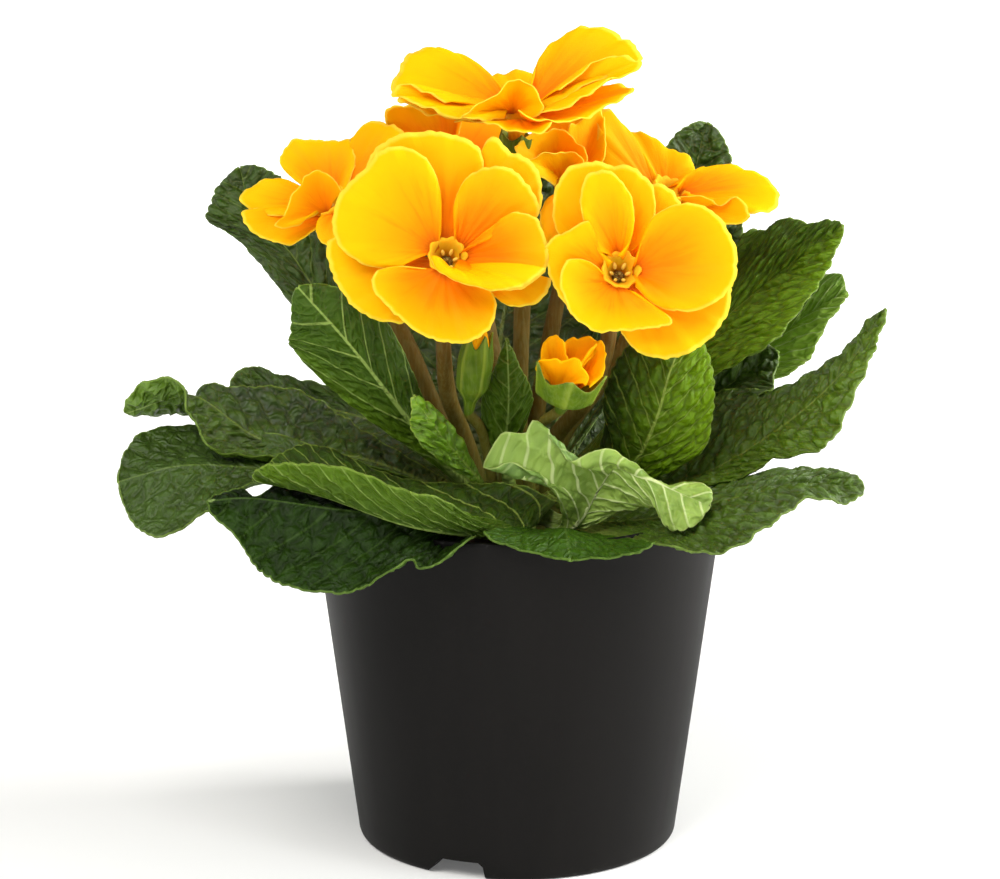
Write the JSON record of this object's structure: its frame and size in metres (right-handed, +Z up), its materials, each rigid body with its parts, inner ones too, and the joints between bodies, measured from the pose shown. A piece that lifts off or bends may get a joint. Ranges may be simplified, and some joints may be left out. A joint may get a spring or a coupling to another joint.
{
  "type": "potted primrose",
  "caption": "Primrose in flower: yellow-orange blooms with overlapping petals above a rosette of crinkled toothed leaves, in a plain tapered round plastic pot.",
  "frame": {"origin": "centre of the pot's underside, on the surface that it stands on", "axes": "+Z up along the pot's axis, -Y to the side with the two large front blooms, +X to the right seen from there"},
  "size_m": [0.1918, 0.1563, 0.208],
  "materials": {
    "pot": "matt charcoal moulded plastic with a soft sheen",
    "soil": "damp dark peat, rough",
    "crown": "fleshy leaf bases, green to tan",
    "leaf": "crinkled dark green leaf with paler veins and a low sheen",
    "leaf_young": "bright green young leaf",
    "leaf_pale": "pale green underside with raised veins",
    "petal": "velvety yellow-orange petal, yellow at the rim",
    "eye": "yellow-green throat with pollen",
    "stalk": "hairy green calyx, stalk green to brown-red"
  },
  "bodies": {
    "root": {"bloom_back_eye": "eye", "bloom_back_petals": "petal", "bloom_back_stalk": "stalk", "bloom_front_left_eye": "eye", "bloom_front_left_petals": "petal", "bloom_front_left_stalk": "stalk", "bloom_front_right_eye": "eye", "bloom_front_right_petals": "petal", "bloom_front_right_stalk": "stalk", "bloom_half_open_petals": "petal", "bloom_half_open_stalk": "stalk", "bloom_left_eye": "eye", "bloom_left_petals": "petal", "bloom_left_stalk": "stalk", "bloom_right_eye": "eye", "bloom_right_petals": "petal", "bloom_right_stalk": "stalk", "bloom_top_eye": "eye", "bloom_top_petals": "petal", "bloom_top_stalk": "stalk", "bud_front_petals": "petal", "bud_front_stalk": "stalk", "bud_left_petals": "petal", "bud_left_stalk": "stalk", "crown": "crown", "leaf_back_1": "leaf", "leaf_back_2": "leaf", "leaf_back_3": "leaf", "leaf_back_4": "leaf", "leaf_back_5": "leaf", "leaf_back_left_tall": "leaf", "leaf_back_right_small": "leaf", "leaf_back_right_tall": "leaf", "leaf_far_left_round": "leaf", "leaf_front_left_hanging": "leaf", "leaf_front_low": "leaf", "leaf_front_pale": "leaf_pale", "leaf_left_behind": "leaf", "leaf_left_long": "leaf", "leaf_left_trough": "leaf", "leaf_left_upright": "leaf", "leaf_right_back": "leaf", "leaf_right_inner": "leaf", "leaf_right_long": "leaf", "leaf_right_low": "leaf", "leaf_right_rising": "leaf", "leaf_right_upright": "leaf", "leaf_young_left": "leaf_young", "leaf_young_middle": "leaf_young", "pot": "pot", "soil": "soil"}
  },
  "joints": []
}
